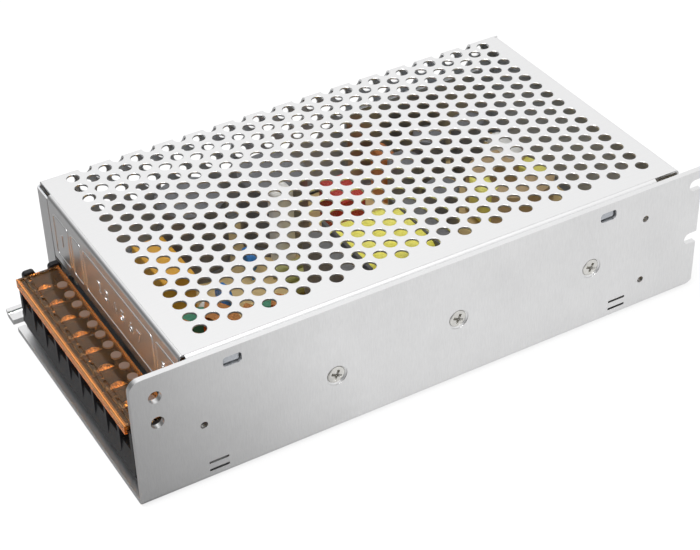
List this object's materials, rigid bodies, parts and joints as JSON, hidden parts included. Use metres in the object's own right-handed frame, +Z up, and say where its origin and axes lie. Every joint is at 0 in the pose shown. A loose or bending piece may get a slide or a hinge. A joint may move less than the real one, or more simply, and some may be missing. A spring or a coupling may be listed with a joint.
{
  "type": "mesh case switching power supply",
  "caption": "Flat metal case with a perforated folded cover, a solid side wall with fixing holes and a screw terminal block under a hinged clear flap.",
  "frame": {"origin": "centre of the case's underside, at the middle of the bounding box", "axes": "+X along the case from the terminal end to the rear, +Y across it from the solid side wall to the perforated one, +Z up"},
  "size_m": [0.215, 0.115, 0.05],
  "materials": {
    "chassis_metal": "satin, fine upright grain",
    "cover_metal": "bright satin",
    "screw_steel": "bright plated",
    "film_plastic": "thin dark sheet",
    "board_laminate": "tan laminate",
    "spacer_steel": "plated",
    "block_plastic": "black, moulded",
    "contact_metal": "tinned",
    "flap_plastic": "translucent orange",
    "trimmer_plastic": "blue",
    "rotor_metal": "turned",
    "led_plastic": "diffused",
    "fuse_ceramic": "ceramic tube",
    "thermistor_coat": "dipped",
    "filter_capacitor_case": "moulded",
    "blue_coat": "dipped",
    "choke_core_green": "coated ferrite",
    "choke_core_yellow": "coated powder",
    "copper_wire": "enamelled copper",
    "dark_sleeve": "shrunk sleeve",
    "ferrite": "ground ferrite",
    "bobbin_plastic": "moulded",
    "winding_tape": "yellow tape",
    "red_coat": "dipped",
    "brown_coat": "dipped",
    "sink_aluminium": "mill finish",
    "package_plastic": "moulded",
    "pad_rubber": "grey silicone",
    "bar_steel": "plated",
    "resistor_coat": "olive coat",
    "white_glue": "soft silicone"
  },
  "bodies": {
    "case": {"chassis": "chassis_metal", "mesh_cover": "cover_metal", "cover_screws": "screw_steel", "insulating_film": "film_plastic", "circuit_board": "board_laminate", "board_spacers": "spacer_steel", "board_screws": "screw_steel", "terminal_block": "block_plastic", "contact_plates": "contact_metal", "clamp_washers": "contact_metal", "terminal_screws": "screw_steel", "trimmer_body": "trimmer_plastic", "indicator_led": "led_plastic", "fuse": "fuse_ceramic", "fuse_clips": "contact_metal", "thermistor": "thermistor_coat", "filter_capacitor": "filter_capacitor_case", "y_capacitors": "blue_coat", "line_choke_core": "choke_core_green", "line_choke_windings": "copper_wire", "small_choke_core": "choke_core_green", "small_choke_windings": "copper_wire", "output_choke_core": "choke_core_yellow", "output_choke_windings": "copper_wire", "bulk_capacitors": "dark_sleeve", "output_capacitors": "dark_sleeve", "transformer_core": "ferrite", "transformer_bobbin": "bobbin_plastic", "transformer_winding": "winding_tape", "red_capacitor": "red_coat", "brown_capacitor": "brown_coat", "heatsink": "sink_aluminium", "bridge_rectifier": "package_plastic", "switching_transistors": "package_plastic", "output_rectifiers": "package_plastic", "insulating_pads": "pad_rubber", "clamp_bars": "bar_steel", "clamp_screws": "screw_steel", "control_chip": "package_plastic", "resistors": "resistor_coat", "fixing_glue": "white_glue"},
    "flap": {"terminal_flap": "flap_plastic"},
    "rotor": {"trimmer_rotor": "rotor_metal"}
  },
  "joints": [
    {"name": "flap_hinge", "type": "hinge", "parent": "case", "child": "flap", "pos_m": [-0.0925, 0, 0.0256], "axis": [0, 1, 0], "range_deg": [0, 90]},
    {"name": "trimmer_turn", "type": "hinge", "parent": "case", "child": "rotor", "pos_m": [-0.095, 0.0444, 0.0137], "axis": [0, 0, 1], "range_deg": [-130, 130]}
  ]
}
